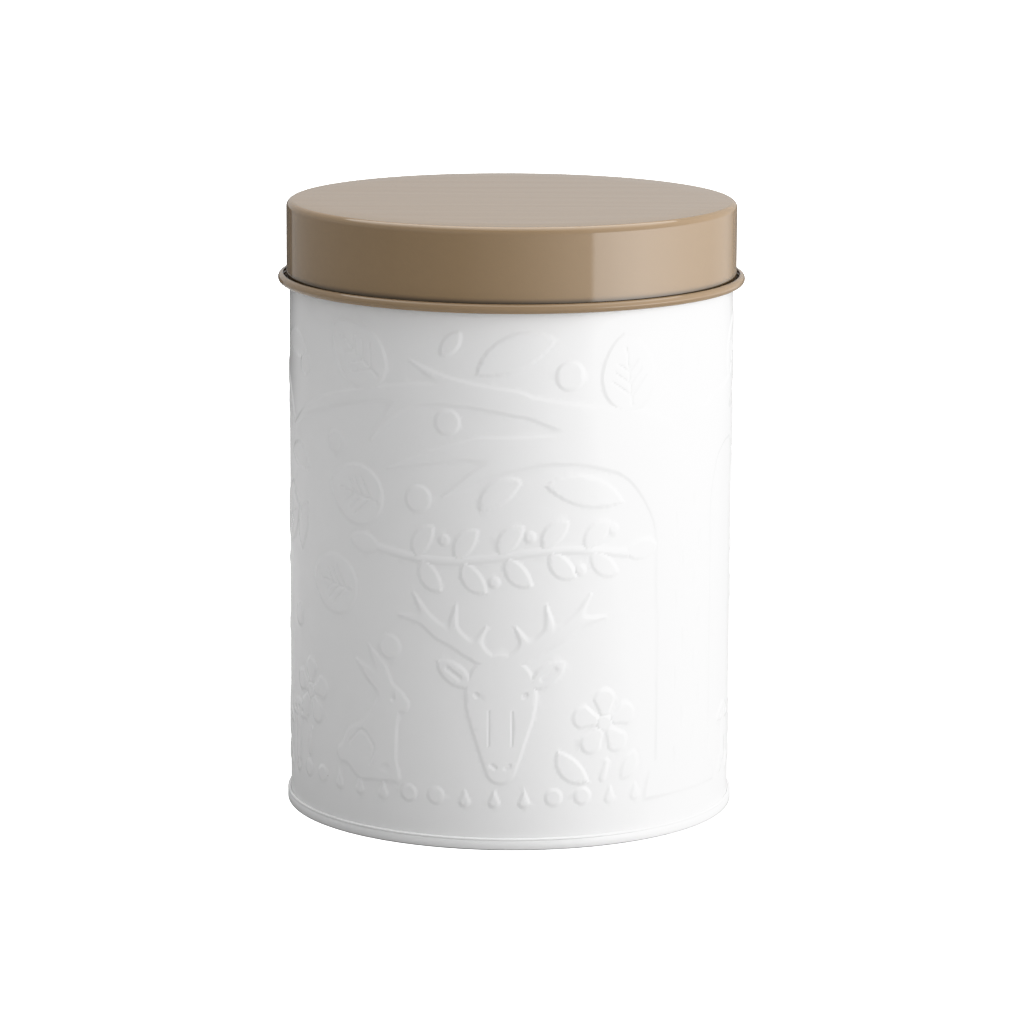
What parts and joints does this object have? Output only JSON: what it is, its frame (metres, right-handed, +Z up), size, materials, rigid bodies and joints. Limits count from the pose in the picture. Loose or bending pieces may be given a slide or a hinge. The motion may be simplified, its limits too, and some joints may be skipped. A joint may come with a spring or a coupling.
{
  "type": "storage tin",
  "caption": "Round enamelled tinplate storage tin with a slip-over lid, an inner plug with a lipped silicone seal, and a double-seamed base.",
  "frame": {"origin": "centre of the tin's base ring, on the surface the tin stands on", "axes": "+Z up along the tin's axis, -Y towards the front of the embossed picture, +Y towards the side seam at the back"},
  "size_m": [0.11, 0.11, 0.144],
  "materials": {
    "white_enamel": "gloss white stoving enamel over embossed tinplate",
    "taupe_enamel": "gloss taupe stoving enamel over tinplate",
    "bare_tinplate": "bright unpainted tinplate",
    "silicone": "translucent matt silicone",
    "seam_compound": "matt grey sealing compound"
  },
  "bodies": {
    "tin": {"body_shell": "white_enamel", "base_end": "white_enamel", "seam_compound": "seam_compound"},
    "seal": {"lid_seal": "silicone"},
    "lid": {"lid_shell": "taupe_enamel", "lid_inner_pan": "bare_tinplate"}
  },
  "joints": [
    {"name": "lid_lift", "type": "slide", "parent": "tin", "child": "seal", "axis": [0, 0, 1], "range_m": [0, 0.06]},
    {"name": "lid_turn", "type": "hinge", "parent": "seal", "child": "lid", "pos_m": [0, 0, 0.1434], "axis": [0, 0, 1], "continuous": true}
  ]
}
